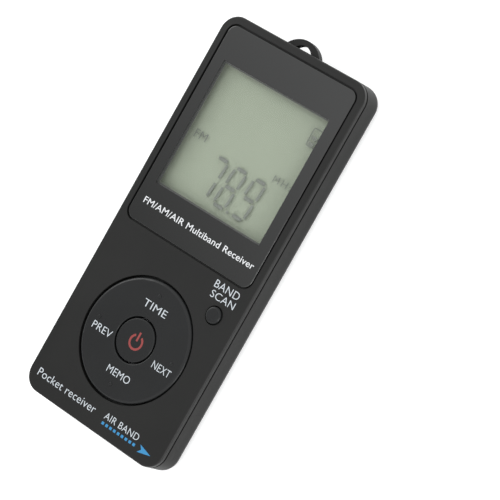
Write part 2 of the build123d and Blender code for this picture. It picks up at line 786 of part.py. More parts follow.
with BuildPart() as clock_crystal:
    with BuildSketch(Plane.XZ.offset(40.9)):
        with Locations((14.4, board_z - 1.05)):
            Circle(1.0)
    extrude(amount=-6.0)
clock_crystal.part.label = "clock_crystal"
export_step(clock_crystal.part, "parts/clock_crystal.step")

with BuildPart() as chip_capacitors:
    with BuildSketch(Plane.XY.offset(board_z - 0.8)):
        with Locations((2.0, -41.4)):
            with GridLocations(2.4, 0, 4, 1):
                Rectangle(*small_chip)
        with Locations((-10.0, -38.4), (0.0, 35.6)):
            with GridLocations(0, small_pitch, 1, 3):
                Rectangle(*small_chip)
    extrude(amount=0.8)
chip_capacitors.part.label = "chip_capacitors"
export_step(chip_capacitors.part, "parts/chip_capacitors.step")

with BuildPart() as chip_resistors:
    with BuildSketch(Plane.XY.offset(board_z - 0.45)):
        with Locations((14.3, -10.5)):
            with GridLocations(2.2, 1.6, 3, 3):
                Rectangle(*small_chip)
        with Locations((-4.0, 35.6)):
            with GridLocations(0, small_pitch, 1, 3):
                Rectangle(*small_chip)
    extrude(amount=0.45)
chip_resistors.part.label = "chip_resistors"
export_step(chip_resistors.part, "parts/chip_resistors.step")

with BuildPart() as tantalum_capacitors:
    with BuildSketch(Plane.XY.offset(board_z - 1.6)):
        with Locations((10.4, 35.6), (-7.6, -34.5)):
            Rectangle(1.9, 3.4)
    extrude(amount=1.6)
tantalum_capacitors.part.label = "tantalum_capacitors"
export_step(tantalum_capacitors.part, "parts/tantalum_capacitors.step")


# ==== battery ====

with BuildPart() as battery_pad:
    with BuildSketch(Plane.XY.offset(floor_z)):
        with Locations((battery_x, battery_y)):
            Rectangle(battery_width - 5.0, battery_length - 8.0)
    extrude(amount=battery_pad_thick)
battery_pad.part.label = "battery_pad"
export_step(battery_pad.part, "parts/battery_pad.step")

with BuildPart() as battery_cell:
    with BuildSketch(Plane.XY.offset(floor_z + battery_pad_thick)):
        with Locations((battery_x, battery_y)):
            Rectangle(battery_width, battery_length)
    extrude(amount=battery_thick)
    fillet(battery_cell.edges().filter_by(Axis.Y), battery_edge_r)
battery_cell.part.label = "battery_cell"
export_step(battery_cell.part, "parts/battery_cell.step")

with BuildPart() as battery_circuit:
    with BuildSketch(Plane.XY.offset(circuit_z)):
        with Locations((battery_x - 4.0, battery_y - battery_length / 2 - 1.0)):
            Rectangle(12.0, 1.9)
    extrude(amount=circuit_thick)
battery_circuit.part.label = "battery_circuit"
export_step(battery_circuit.part, "parts/battery_circuit.step")

for lead_name, plug_x, strip_x in (("battery_lead_red", -13.0, -9.8), ("battery_lead_black", -11.6, -8.4)):
    with BuildPart() as lead:
        with BuildLine() as route:
            lead_xs = (plug_x, plug_x, strip_x, strip_x)
            FilletPolyline(*[(x, y, lead_z) for x, y in zip(lead_xs, lead_ys)], radius=lead_bend_r)
        with BuildSketch(Plane(route.wire() @ 0, z_dir=route.wire() % 0)):
            Circle(lead_r)
        sweep()
    lead.part.label = lead_name
    export_step(lead.part, f"parts/{lead_name}.step")

with BuildPart() as battery_plug:
    with BuildSketch(Plane.XY.offset(lead_z - 0.6)):
        with Locations((battery_plug_x, battery_plug_y)):
            Rectangle(3.6, 2.0)
    extrude(amount=1.2)
battery_plug.part.label = "battery_plug"
export_step(battery_plug.part, "parts/battery_plug.step")

with BuildPart() as battery_socket:
    with BuildSketch(Plane.XY.offset(lead_z - 0.8)):
        with Locations((battery_plug_x, battery_socket_y)):
            Rectangle(4.6, 3.0)
    extrude(amount=board_z - lead_z + 0.8)
battery_socket.part.label = "battery_socket"
export_step(battery_socket.part, "parts/battery_socket.step")


# ==== aerial for medium wave ====

with BuildPart() as ferrite_bar:
    with BuildSketch(Plane.XZ.offset(-ferrite_y)):
        with Locations((ferrite_x, ferrite_z)):
            RectangleRounded(ferrite_width, ferrite_thick, ferrite_corner_r)
    extrude(amount=ferrite_length / 2, both=True)
ferrite_bar.part.label = "ferrite_bar"
export_step(ferrite_bar.part, "parts/ferrite_bar.step")

with BuildPart() as ferrite_coil:
    with BuildSketch(Plane.XZ.offset(-ferrite_y)):
        with Locations((ferrite_x, ferrite_z)):
            RectangleRounded(ferrite_width + 2 * coil_build, ferrite_thick + 2 * coil_build, 0.8)
            RectangleRounded(ferrite_width, ferrite_thick, ferrite_corner_r, mode=Mode.SUBTRACT)
    extrude(amount=coil_length / 2, both=True)
ferrite_coil.part.label = "ferrite_coil"
export_step(ferrite_coil.part, "parts/ferrite_coil.step")


# ==== sockets ====

jack_mid_y = (jack_back_y + jack_front_y) / 2
jack_contact_y = {1: (38.4, 43.2), -1: (40.8,)}     # side of the jack: places along it

with BuildPart() as headphone_jack:
    with Locations((jack_x, jack_mid_y, jack_z)):
        Box(jack_width, jack_front_y - jack_back_y, jack_height)
    low_front = headphone_jack.edges().filter_by(Axis.X).group_by(Axis.Y)[-1].sort_by(Axis.Z)[0]
    chamfer(low_front, 1.3)
    with BuildSketch(Plane.XZ.offset(-jack_front_y)):
        with Locations((jack_x, jack_z)):
            Circle(jack_bore_r)
    extrude(amount=jack_front_y - jack_back_y - jack_back_wall, mode=Mode.SUBTRACT)
    # slots for the spring contacts
    for side, places in jack_contact_y.items():
        with Locations(*[(jack_x + side * 2.4, y, jack_z) for y in places]):
            Box(2.0, 1.6, 0.8, mode=Mode.SUBTRACT)
headphone_jack.part.label = "headphone_jack"
export_step(headphone_jack.part, "parts/headphone_jack.step")

with BuildPart() as jack_contacts:
    for side, places in jack_contact_y.items():
        with Locations(*[(jack_x + side * 2.525, y, jack_z) for y in places]):
            Box(1.25, contact_width, 0.5)
        with Locations(*[(jack_x + side * 3.1, y, jack_z + 0.6) for y in places]):
            Box(0.2, contact_width, 1.7)
jack_contacts.part.label = "jack_contacts"
export_step(jack_contacts.part, "parts/jack_contacts.step")

with BuildPart() as charging_socket:
    with BuildSketch(Plane.XZ.offset(-charge_back_y)):
        with Locations((0, charge_z)):
            RectangleRounded(charge_width, charge_height, 0.7)
    extrude(amount=charge_back_y - charge_front_y)
    with BuildSketch(Plane.XZ.offset(-charge_back_y + charge_back)):
        with Locations((0, charge_z)):
            RectangleRounded(charge_width - 2 * charge_skin, charge_height - 2 * charge_skin, 0.45)
    extrude(amount=charge_back_y - charge_front_y - charge_back, mode=Mode.SUBTRACT)
charging_socket.part.label = "charging_socket"
export_step(charging_socket.part, "parts/charging_socket.step")

with BuildPart() as socket_tongue:
    with BuildSketch(Plane.XZ.offset(-charge_back_y + charge_back)):
        with Locations((0, charge_z + tongue_rise)):
            Rectangle(tongue_width, tongue_thick)
    extrude(amount=charge_back_y - charge_front_y - tongue_short)
socket_tongue.part.label = "socket_tongue"
export_step(socket_tongue.part, "parts/socket_tongue.step")
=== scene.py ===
# %% [markdown]
# # A pocket airband radio
# The radio is a thin charcoal case that lies on its back. Its frame, keys and screws come ready made, in
# metres, with +Z out of the display and +Y towards the lanyard eye. This lesson gives every piece its
# finish, prints the legends, draws the display's segments, and sets a camera and soft light round it.

# %% Load the frame
import bpy
import math
from mathutils import Matrix, Vector


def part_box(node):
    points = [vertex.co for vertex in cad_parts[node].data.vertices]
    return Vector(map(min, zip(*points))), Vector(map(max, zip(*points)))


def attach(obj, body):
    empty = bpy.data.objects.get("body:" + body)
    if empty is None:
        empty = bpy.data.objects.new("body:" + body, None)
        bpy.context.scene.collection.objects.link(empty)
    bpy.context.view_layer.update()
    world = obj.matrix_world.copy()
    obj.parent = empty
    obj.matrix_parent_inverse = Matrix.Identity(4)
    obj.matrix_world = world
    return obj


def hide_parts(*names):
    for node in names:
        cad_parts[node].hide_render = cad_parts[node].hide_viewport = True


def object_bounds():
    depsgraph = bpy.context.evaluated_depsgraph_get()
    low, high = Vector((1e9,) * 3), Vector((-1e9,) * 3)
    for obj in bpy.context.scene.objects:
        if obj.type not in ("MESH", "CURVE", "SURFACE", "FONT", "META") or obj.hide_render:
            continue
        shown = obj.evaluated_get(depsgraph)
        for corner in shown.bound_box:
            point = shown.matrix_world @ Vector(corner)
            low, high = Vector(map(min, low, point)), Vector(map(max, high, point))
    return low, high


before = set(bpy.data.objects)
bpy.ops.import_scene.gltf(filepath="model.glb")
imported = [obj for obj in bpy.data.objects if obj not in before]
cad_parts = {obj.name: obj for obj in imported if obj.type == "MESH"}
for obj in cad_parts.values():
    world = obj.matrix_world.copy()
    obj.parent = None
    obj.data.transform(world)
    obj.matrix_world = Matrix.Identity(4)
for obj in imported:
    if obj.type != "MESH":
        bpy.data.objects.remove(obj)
cad_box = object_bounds()
MM = 0.001

# %% [markdown]
# Places are read from the pieces themselves. A piece's box gives its lowest and highest corner, and from
# those come the face, the middle of the dial and the middle of the window. The window's side is given.

# %% Measure the pieces
FACE_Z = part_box("display_lens")[1].z
SHELL_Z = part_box("front_shell")[1].z
DIAL_LOW, DIAL_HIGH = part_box("dial_ring")
POWER_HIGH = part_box("power_key")[1]
LENS_LOW, LENS_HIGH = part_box("display_lens")
GASKET_LOW, GASKET_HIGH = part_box("lcd_gasket")
DIAL = (DIAL_LOW + DIAL_HIGH) / 2
DOT_HEIGHT = 0.2 * MM
DIAL_TOP = DIAL_HIGH.z - DOT_HEIGHT
WINDOW_SIDE = 31.0 * MM
WINDOW = Vector((0.0, (GASKET_LOW.y + GASKET_HIGH.y) / 2, 0.0))
print(f"face {FACE_Z / MM:.2f} mm up, dial at y {DIAL.y / MM:.2f}, window {WINDOW_SIDE / MM:.0f} mm square")

# %% [markdown]
# ## A small kit for materials
# Every finish starts from a Principled shader. Patterns come from noise on Object coordinates, so they stay
# on the piece when it moves. A bump node turns the same noise into fine relief.

# %% Material helpers
def start_material(name, colour, roughness, metallic=0.0, specular=0.5):
    """A material with one Principled shader, returned with its tree and shader."""
    material = bpy.data.materials.new(name)
    material.use_nodes = True
    tree = material.node_tree
    shader = tree.nodes["Principled BSDF"]
    shader.inputs["Base Color"].default_value = (*colour, 1.0)
    shader.inputs["Roughness"].default_value = roughness
    shader.inputs["Metallic"].default_value = metallic
    shader.inputs["Specular IOR Level"].default_value = specular
    return material, tree, shader


def noise(tree, size, detail=2.0, stretch=(1.0, 1.0, 1.0)):
    """Noise whose blobs are about `size` metres across, on Object coordinates."""
    place = tree.nodes.new("ShaderNodeTexCoord")
    mapping = tree.nodes.new("ShaderNodeMapping")
    mapping.inputs["Scale"].default_value = stretch
    pattern = tree.nodes.new("ShaderNodeTexNoise")
    pattern.inputs["Scale"].default_value = 1.0 / size
    pattern.inputs["Detail"].default_value = detail
    tree.links.new(place.outputs["Object"], mapping.inputs["Vector"])
    tree.links.new(mapping.outputs["Vector"], pattern.inputs["Vector"])
    return pattern.outputs["Fac"]


def ramp(tree, value, low, high, place=(0.3, 0.7)):
    """Turns a value into a colour between `low` and `high`."""
    node = tree.nodes.new("ShaderNodeValToRGB")
    for element, where, colour in zip(node.color_ramp.elements, place, (low, high)):
        element.position = where
        element.color = (*colour, 1.0)
    tree.links.new(value, node.inputs["Fac"])
    return node.outputs["Color"]


def spread(tree, value, low, high):
    """Maps a 0 to 1 value to the range low to high."""
    node = tree.nodes.new("ShaderNodeMapRange")
    node.inputs["To Min"].default_value = low
    node.inputs["To Max"].default_value = high
    tree.links.new(value, node.inputs["Value"])
    return node.outputs["Result"]


def bump(tree, shader, value, depth, strength=1.0, under=None):
    """Relief of `depth` metres on the shader, over another bump if one is given."""
    node = tree.nodes.new("ShaderNodeBump")
    node.inputs["Distance"].default_value = depth
    node.inputs["Strength"].default_value = strength
    tree.links.new(value, node.inputs["Height"])
    if under is not None:
        tree.links.new(under, node.inputs["Normal"])
    tree.links.new(node.outputs["Normal"], shader.inputs["Normal"])
    return node.outputs["Normal"]


def scaled(colour, factor):
    return tuple(channel * factor for channel in colour)


def dress(material, *nodes):
    """Gives the material to frame pieces, in place of the plain one they came with."""
    for name in nodes:
        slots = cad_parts[name].data.materials
        slots.clear()
        slots.append(material)

# %% [markdown]
# ## Moulded plastic
# The shells and keys are ABS from a spark-eroded mould: a satin skin with a grain of about a tenth of a
# millimetre, and slow, faint changes in tone and gloss. One function makes them all, and only tone and
# gloss differ.

# %% Satin plastic
def satin_plastic(name, colour, roughness, gloss, grain=0.11 * MM, relief=0.006 * MM):
    material, tree, shader = start_material(name, colour, roughness, specular=gloss)
    cloudy = noise(tree, 14 * MM, detail=3.0)
    tone = ramp(tree, cloudy, scaled(colour, 0.9), scaled(colour, 1.12))
    tree.links.new(tone, shader.inputs["Base Color"])
    fine = noise(tree, grain, detail=2.0)
    tree.links.new(spread(tree, fine, roughness - 0.06, roughness + 0.06), shader.inputs["Roughness"])
    wavy = bump(tree, shader, noise(tree, 5 * MM), 0.004 * MM, 0.5)
    bump(tree, shader, fine, relief, 0.6, under=wavy)
    return material


shell_plastic = satin_plastic("shell_plastic", (0.0085, 0.0085, 0.0081), 0.40, 0.2)
# The rear shell's tone is a little lighter than the front shell's: painted light that brightens the side wall.
rear_plastic_with_painted_light = satin_plastic("rear_shell_plastic_painted_light", (0.0100, 0.0100, 0.0096), 0.44, 0.14)
dial_plastic = satin_plastic("dial_plastic", (0.0080, 0.0084, 0.0086), 0.34, 0.23, grain=0.09 * MM)
key_plastic = satin_plastic("small_key_plastic", (0.0078, 0.0083, 0.0085), 0.36, 0.22, grain=0.09 * MM)
moulded_black = satin_plastic("moulded_black", (0.016, 0.016, 0.016), 0.5, 0.3, grain=0.2 * MM)
dress(shell_plastic, "front_shell")
dress(rear_plastic_with_painted_light, "rear_shell")
dress(dial_plastic, "dial_ring", "power_key")
dress(key_plastic, "band_scan_key", "volume_up_key", "volume_down_key", "lock_slider")
dress(moulded_black, "headphone_jack", "socket_tongue", "volume_switches", "lock_switch")
print("plastics:", shell_plastic.name, dial_plastic.name, key_plastic.name)

# %% [markdown]
# ## The lens and the display behind it
# The lens is clear acrylic with a black print on its rear face that leaves a square window. Clear sheets
# are made of two shaders: Transparent lets light straight through, and Glossy lays the room's reflection on
# top, mixed by Fresnel. The gloss is only on the outer side of a face, because a ray that goes straight
# through would otherwise be turned back inside at a low angle. Light reaches the display, so its segments
# throw a soft shadow.

# %% Clear sheets
def clear_sheet(name, tint, roughness, ior=1.49):
    material, tree, shader = start_material(name, tint, roughness)
    tree.nodes.remove(shader)
    through = tree.nodes.new("ShaderNodeBsdfTransparent")
    through.inputs["Color"].default_value = (*tint, 1.0)
    gloss = tree.nodes.new("ShaderNodeBsdfGlossy")
    gloss.inputs["Roughness"].default_value = roughness
    edge = tree.nodes.new("ShaderNodeFresnel")
    edge.inputs["IOR"].default_value = ior
    side = tree.nodes.new("ShaderNodeNewGeometry")
    outer = tree.nodes.new("ShaderNodeMath")
    outer.operation = "SUBTRACT"
    outer.inputs[0].default_value = 1.0
    share = tree.nodes.new("ShaderNodeMath")
    share.operation = "MULTIPLY"
    mix = tree.nodes.new("ShaderNodeMixShader")
    tree.links.new(side.outputs["Backfacing"], outer.inputs[1])
    tree.links.new(edge.outputs["Fac"], share.inputs[0])
    tree.links.new(outer.outputs["Value"], share.inputs[1])
    tree.links.new(share.outputs["Value"], mix.inputs["Fac"])
    tree.links.new(through.outputs["BSDF"], mix.inputs[1])
    tree.links.new(gloss.outputs["BSDF"], mix.inputs[2])
    tree.links.new(mix.outputs["Shader"], tree.nodes["Material Output"].inputs["Surface"])
    return material


glass_clear = clear_sheet("display_glass_clear", (0.985, 0.99, 0.975), 0.25, ior=1.15)

# %% [markdown]
# The lens is one sheet with two looks. Inside the window it is clear, and over the print it is a deep,
# glossy black, its cut edge too. Two sheets would show a joint, so one material holds both: the
# distance from the middle of the window, measured along X and along Y, says which look a point has.

# %% Printed lens
PRINT_BLACK = (0.0100, 0.0102, 0.0098)
CLEAR_MARGIN = 0.4 * MM
PRINT_DRIFT = 20 * MM
PRINT_MOTTLE = 0.05


def printed_lens():
    material = clear_sheet("printed_lens", (0.98, 0.985, 0.98), 0.06, ior=1.2)
    tree = material.node_tree
    clear = tree.nodes["Mix Shader"]
    black = tree.nodes.new("ShaderNodeBsdfPrincipled")
    black.inputs["Roughness"].default_value = 0.09
    drift = noise(tree, PRINT_DRIFT, detail=1.0)
    tone = ramp(tree, drift, scaled(PRINT_BLACK, 1 - PRINT_MOTTLE), scaled(PRINT_BLACK, 1 + PRINT_MOTTLE))
    tree.links.new(tone, black.inputs["Base Color"])
    place = tree.nodes.new("ShaderNodeTexCoord")
    centred = tree.nodes.new("ShaderNodeMapping")
    centred.inputs["Location"].default_value = -WINDOW
    size = tree.nodes.new("ShaderNodeVectorMath")
    size.operation = "ABSOLUTE"
    part = tree.nodes.new("ShaderNodeSeparateXYZ")
    widest = tree.nodes.new("ShaderNodeMath")
    widest.operation = "MAXIMUM"
    outside = tree.nodes.new("ShaderNodeMath")
    outside.operation = "GREATER_THAN"
    outside.inputs[1].default_value = WINDOW_SIDE / 2 + CLEAR_MARGIN
    choice = tree.nodes.new("ShaderNodeMixShader")
    tree.links.new(place.outputs["Object"], centred.inputs["Vector"])
    tree.links.new(centred.outputs["Vector"], size.inputs[0])
    tree.links.new(size.outputs["Vector"], part.inputs["Vector"])
    tree.links.new(part.outputs["X"], widest.inputs[0])
    tree.links.new(part.outputs["Y"], widest.inputs[1])
    tree.links.new(widest.outputs["Value"], outside.inputs[0])
    tree.links.new(outside.outputs["Value"], choice.inputs["Fac"])
    tree.links.new(clear.outputs["Shader"], choice.inputs[1])
    tree.links.new(black.outputs["BSDF"], choice.inputs[2])
    tree.links.new(choice.outputs["Shader"], tree.nodes["Material Output"].inputs["Surface"])
    return material


dress(printed_lens(), "display_lens")
print(f"the lens is clear within {(WINDOW_SIDE / 2 + CLEAR_MARGIN) / MM:.1f} mm of the window's middle")

# %% Display films
def film(name, colour, roughness, mottle):
    """A matt film whose tone drifts slowly across it."""
    material, tree, shader = start_material(name, colour, roughness)
    drift = noise(tree, 18 * MM, detail=1.0)
    tone = ramp(tree, drift, scaled(colour, 1 - mottle), scaled(colour, 1 + mottle))
    tree.links.new(tone, shader.inputs["Base Color"])
    bump(tree, shader, noise(tree, 0.15 * MM), 0.003 * MM, 0.5)
    return material


dress(film("display_backing", (0.262, 0.285, 0.237), 0.7, 0.02), "lcd_rear_pane", "rear_polariser")
dress(film("reflector_white", (0.85, 0.85, 0.83), 0.6, 0.01), "reflector_sheet")
dress(film("frosted_guide", (0.75, 0.8, 0.72), 0.35, 0.02), "light_guide")
dress(film("white_nylon", (0.8, 0.79, 0.75), 0.5, 0.02), "lcd_holder", "battery_plug", "battery_socket")
dress(film("foam_black", (0.02, 0.02, 0.02), 0.95, 0.2), "lens_tape", "lcd_gasket")
dress(film("pad_white", (0.8, 0.79, 0.76), 0.9, 0.04), "battery_pad")
dress(film("plunger_nylon", (0.75, 0.7, 0.58), 0.45, 0.03),
      "volume_up_plunger", "volume_down_plunger", "lock_lever")
dress(film("silicone_grey", (0.2, 0.2, 0.21), 0.6, 0.06), "keypad_mat", "dial_pivot_ring")
dress(film("led_epoxy", (0.95, 0.6, 0.2), 0.15, 0.02), "backlight_leds")

# %% [markdown]
# ## Metals
# Screws, shield, domes and sockets are bare or plated metal. Stretching the noise along one axis gives the
# fine lines that rolling or brushing leaves.

# %% Metal finishes
def metal(name, colour, roughness, stretch=(1.0, 12.0, 1.0), line=0.4 * MM):
    material, tree, shader = start_material(name, colour, roughness, metallic=1.0)
    lines = noise(tree, line, detail=3.0, stretch=stretch)
    tree.links.new(spread(tree, lines, roughness - 0.08, roughness + 0.12), shader.inputs["Roughness"])
    tone = ramp(tree, noise(tree, 3 * MM), scaled(colour, 0.85), colour)
    tree.links.new(tone, shader.inputs["Base Color"])
    bump(tree, shader, lines, 0.004 * MM, 0.4)
    return material


dress(metal("screw_black", (0.11, 0.11, 0.115), 0.32, stretch=(1.0, 1.0, 1.0)), "case_screws", "board_screws")
dress(metal("tinned_steel", (0.62, 0.62, 0.6), 0.3), "radio_shield", "main_crystal", "clock_crystal")
dress(metal("dome_steel", (0.7, 0.69, 0.66), 0.2, stretch=(1.0, 1.0, 1.0)), "dome_switches")
dress(metal("socket_nickel", (0.66, 0.65, 0.62), 0.24), "charging_socket")
dress(metal("contact_gold", (0.85, 0.6, 0.22), 0.25), "jack_contacts")
dress(metal("cell_foil", (0.66, 0.67, 0.69), 0.38, stretch=(1.0, 1.0, 1.0), line=1.6 * MM), "battery_cell")

# %% [markdown]
# ## The circuit board and its parts
# The board's solder mask is green and glossy over copper tracks, which show as slightly lighter bands with
# a low relief. A brick pattern with long, thin bricks gives bands that run and turn like tracks. Chips are
# matt epoxy, and their leads, close to the board, are tinned.

# %% Board and chips
def board_mask(name, colour):
    material, tree, shader = start_material(name, colour, 0.28)
    place = tree.nodes.new("ShaderNodeTexCoord")
    tracks = tree.nodes.new("ShaderNodeTexBrick")
    tracks.inputs["Scale"].default_value = 1.0 / (4 * MM)
    tracks.inputs["Mortar Size"].default_value = 0.035
    tracks.inputs["Color1"].default_value = (*scaled(colour, 0.8), 1.0)
    tracks.inputs["Color2"].default_value = (*scaled(colour, 1.1), 1.0)
    tracks.inputs["Mortar"].default_value = (*scaled(colour, 1.9), 1.0)
    tree.links.new(place.outputs["Object"], tracks.inputs["Vector"])
    tree.links.new(tracks.outputs["Color"], shader.inputs["Base Color"])
    bump(tree, shader, tracks.outputs["Fac"], 0.02 * MM, 0.7)
    return material


def chip_epoxy(name, lead_height):
    """Black epoxy, tinned within `lead_height` of the board's underside."""
    material, tree, shader = start_material(name, (0.02, 0.02, 0.021), 0.55)
    place = tree.nodes.new("ShaderNodeTexCoord")
    height = tree.nodes.new("ShaderNodeSeparateXYZ")
    low = tree.nodes.new("ShaderNodeMath")
    low.operation = "GREATER_THAN"
    low.inputs[1].default_value = BOARD_LOW - lead_height
    tree.links.new(place.outputs["Object"], height.inputs["Vector"])
    tree.links.new(height.outputs["Z"], low.inputs[0])
    tone = ramp(tree, low.outputs["Value"], (0.02, 0.02, 0.021), (0.6, 0.6, 0.58), place=(0.4, 0.6))
    tree.links.new(tone, shader.inputs["Base Color"])
    tree.links.new(low.outputs["Value"], shader.inputs["Metallic"])
    bump(tree, shader, noise(tree, 0.12 * MM), 0.006 * MM, 0.6)
    return material


BOARD_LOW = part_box("main_board")[0].z
dress(board_mask("solder_mask", (0.015, 0.11, 0.045)), "main_board", "battery_circuit")
dress(chip_epoxy("chip_with_leads", 0.31 * MM), "controller_chip", "audio_amplifier_chip", "charger_chip")
dress(chip_epoxy("chip_flat", 0.05 * MM), "receiver_chip", "chip_resistors")
dress(film("ceramic_tan", (0.45, 0.3, 0.16), 0.5, 0.08), "chip_capacitors")
dress(film("tantalum_yellow", (0.75, 0.42, 0.05), 0.4, 0.04), "tantalum_capacitors")
dress(film("red_insulation", (0.5, 0.02, 0.015), 0.4, 0.05), "battery_lead_red")
dress(film("black_insulation", (0.02, 0.02, 0.02), 0.4, 0.05), "battery_lead_black")
dress(film("ferrite_grey", (0.035, 0.034, 0.036), 0.5, 0.15), "ferrite_bar")

# %% [markdown]
# The aerial's coil and the display's rubber connector are both striped across: turns of enamelled wire in
# one, and layers of carbon and silicone in the other. A wave texture along the piece makes the stripes and
# their relief.

# %% Striped pieces
def striped(name, dark, light, pitch, axis, roughness, metallic, depth):
    material, tree, shader = start_material(name, light, roughness, metallic=metallic)
    place = tree.nodes.new("ShaderNodeTexCoord")
    wave = tree.nodes.new("ShaderNodeTexWave")
    wave.bands_direction = axis
    wave.inputs["Scale"].default_value = math.pi / (10.0 * pitch)
    tree.links.new(place.outputs["Object"], wave.inputs["Vector"])
    tree.links.new(ramp(tree, wave.outputs["Fac"], dark, light), shader.inputs["Base Color"])
    bump(tree, shader, wave.outputs["Fac"], depth)
    return material


dress(striped("copper_turns", (0.2, 0.06, 0.02), (0.72, 0.3, 0.12), 0.2 * MM, "Y", 0.3, 0.9, 0.06 * MM),
      "ferrite_coil")
dress(striped("zebra_rubber", (0.02, 0.02, 0.02), (0.5, 0.5, 0.52), 0.25 * MM, "X", 0.7, 0.0, 0.01 * MM),
      "elastomer_connector")
bare = [n for n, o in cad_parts.items() if not o.data.materials or "." in o.data.materials[0].name]
print("pieces still without a finish:", bare)

# %% [markdown]
# ## Printing on the case
# Pad-printed ink is a film a few hundredths of a millimetre thick. A helper turns outlines into closed
# prisms of that thickness, and every print is such a prism, so it has real edges in the mesh.

# %% Ink and prism helpers
INK = 0.015 * MM


def ink(name, colour, roughness=0.45):
    material, tree, shader = start_material(name, colour, roughness)
    speck = noise(tree, 0.2 * MM)
    tone = ramp(tree, speck, scaled(colour, 0.93), colour)
    tree.links.new(tone, shader.inputs["Base Color"])
    bump(tree, shader, speck, 0.003 * MM, 0.4)
    return material


white_ink = ink("white_ink", (0.42, 0.45, 0.475))
lens_ink = ink("lens_white_ink", (0.56, 0.57, 0.58))
red_ink = ink("red_ink", (0.20, 0.022, 0.02))
blue_ink = ink("blue_ink", (0.014, 0.17, 0.36))


def mask_print_with_painted_light():
    """The print behind the lens: charcoal with only a slow drift in tone, lifted above the lens's black as
    painted light.
    """
    # Six times the lens's black: painted light that makes the print, seen through the clear margin, as bright
    # as the glossy black top face beside it.
    charcoal_with_painted_light = scaled(PRINT_BLACK, 6.0)
    material, tree, shader = start_material("mask_print_with_painted_light", charcoal_with_painted_light, 0.5)
    drift = noise(tree, PRINT_DRIFT, detail=1.0)
    tone = ramp(tree, drift, scaled(charcoal_with_painted_light, 1 - PRINT_MOTTLE), scaled(charcoal_with_painted_light, 1 + PRINT_MOTTLE))
    tree.links.new(tone, shader.inputs["Base Color"])
    return material


mask_ink_with_painted_light = mask_print_with_painted_light()


def new_piece(name, mesh, material, body):
    """Puts a finished mesh in the scene as one piece that rides on a body."""
    mesh.materials.clear()
    mesh.materials.append(material)
    piece = bpy.data.objects.new(name, mesh)
    bpy.context.scene.collection.objects.link(piece)
    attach(piece, body)
    return piece


def prism(loops, low, high):
    """A closed band between two loops of the same length, outer and inner, or a solid if there is one."""
    outer, inner = (loops + [None])[:2]
    count = len(outer)
    points = [(x, y, z) for loop in loops for z in (low, high) for x, y in loop]
    faces = []
    for i in range(count):
        j = (i + 1) % count
        faces.append((i, j, count + j, count + i))
        if inner:
            base = 2 * count
            faces.append((base + j, base + i, base + count + i, base + count + j))
            faces.append((count + i, count + j, base + count + j, base + count + i))
            faces.append((j, i, base + i, base + j))
    if not inner:
        faces.append(tuple(range(count, 2 * count)))
        faces.append(tuple(reversed(range(count))))
    mesh = bpy.data.meshes.new("prism")
    mesh.from_pydata(points, [], faces)
    return mesh


def rounded_box(cx, cy, half_x, half_y, radius, steps=6):
    """A rounded rectangle's outline, anticlockwise."""
    loop = []
    for k, (sx, sy) in enumerate(((1, 1), (-1, 1), (-1, -1), (1, -1))):
        for step in range(steps + 1):
            angle = math.radians(90 * (k + step / steps))
            loop.append((cx + sx * (half_x - radius) + radius * math.cos(angle),
                         cy + sy * (half_y - radius) + radius * math.sin(angle)))
    return loop

# %% [markdown]
# The black print behind the lens is a frame: its outer edge is the lens's outline, and its inner edge is
# the sharp square of the window. It is laid a hair inside the lens's rear face, so that the two never share
# a plane.

# %% Window print
lens_centre = (LENS_LOW + LENS_HIGH) / 2
lens_half = (LENS_HIGH - LENS_LOW) / 2
PRINT_INSET = 0.1 * MM
PRINT_LOW, PRINT_HIGH = LENS_LOW.z + 0.002 * MM, LENS_LOW.z + 0.02 * MM
print_outer = rounded_box(lens_centre.x, lens_centre.y, lens_half.x - PRINT_INSET, lens_half.y - PRINT_INSET,
                          2.1 * MM)
print_inner = rounded_box(0.0, WINDOW.y, WINDOW_SIDE / 2, WINDOW_SIDE / 2, 0.15 * MM)
window_print = new_piece("window_print", prism([print_outer, print_inner], PRINT_LOW, PRINT_HIGH), mask_ink_with_painted_light,
                         "case")
print("window print:", len(window_print.data.polygons), "faces")

# %% [markdown]
# The display's front pane carries its polariser glued to its face, so the two are made as one clear
# laminate with a step where the bare contact strip sticks out. One sheet instead of two also lets more
# light down to the film: each clear face that a ray crosses counts against a limit, and a stack of many
# thin sheets would turn black. The helper skins any stack of outlines that have the same number of points.

# %% Display glass
def skin(levels):
    """A closed solid through outlines given as (outline, z), from the bottom up."""
    count = len(levels[0][0])
    points = [(x, y, z) for outline, z in levels for x, y in outline]
    faces = [tuple(reversed(range(count)))]
    for level in range(len(levels) - 1):
        low, high = level * count, (level + 1) * count
        faces += [(low + i, low + (i + 1) % count, high + (i + 1) % count, high + i) for i in range(count)]
    top = (len(levels) - 1) * count
    faces.append(tuple(range(top, top + count)))
    mesh = bpy.data.meshes.new("skin")
    mesh.from_pydata(points, [], faces)
    return mesh


def outline_of(node, inset, radius):
    """The rounded outline of a node's box, seen from above, and its lowest and highest z."""
    low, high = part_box(node)
    middle, half = (low + high) / 2, (high - low) / 2
    return rounded_box(middle.x, middle.y, half.x - inset, half.y - inset, radius), low.z, high.z


EASE = 0.03 * MM
pane, pane_low, pane_high = outline_of("lcd_front_pane", 0.0, 0.2 * MM)
pane_eased = outline_of("lcd_front_pane", EASE, 0.2 * MM)[0]
sheet, sheet_low, sheet_high = outline_of("front_polariser", 0.0, 0.3 * MM)
sheet_eased = outline_of("front_polariser", EASE, 0.3 * MM)[0]
glass_mesh = skin([
    (pane_eased, pane_low), (pane, pane_low + EASE), (pane, pane_high - EASE), (pane_eased, pane_high),
    (sheet, sheet_low), (sheet, sheet_high - EASE), (sheet_eased, sheet_high)])
display_glass = new_piece("display_glass", glass_mesh, glass_clear, "case")
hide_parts("front_polariser", "lcd_front_pane")
CRYSTAL_Z = sheet_low
print(f"display glass from {pane_low / MM:.2f} to {sheet_high / MM:.2f} mm")
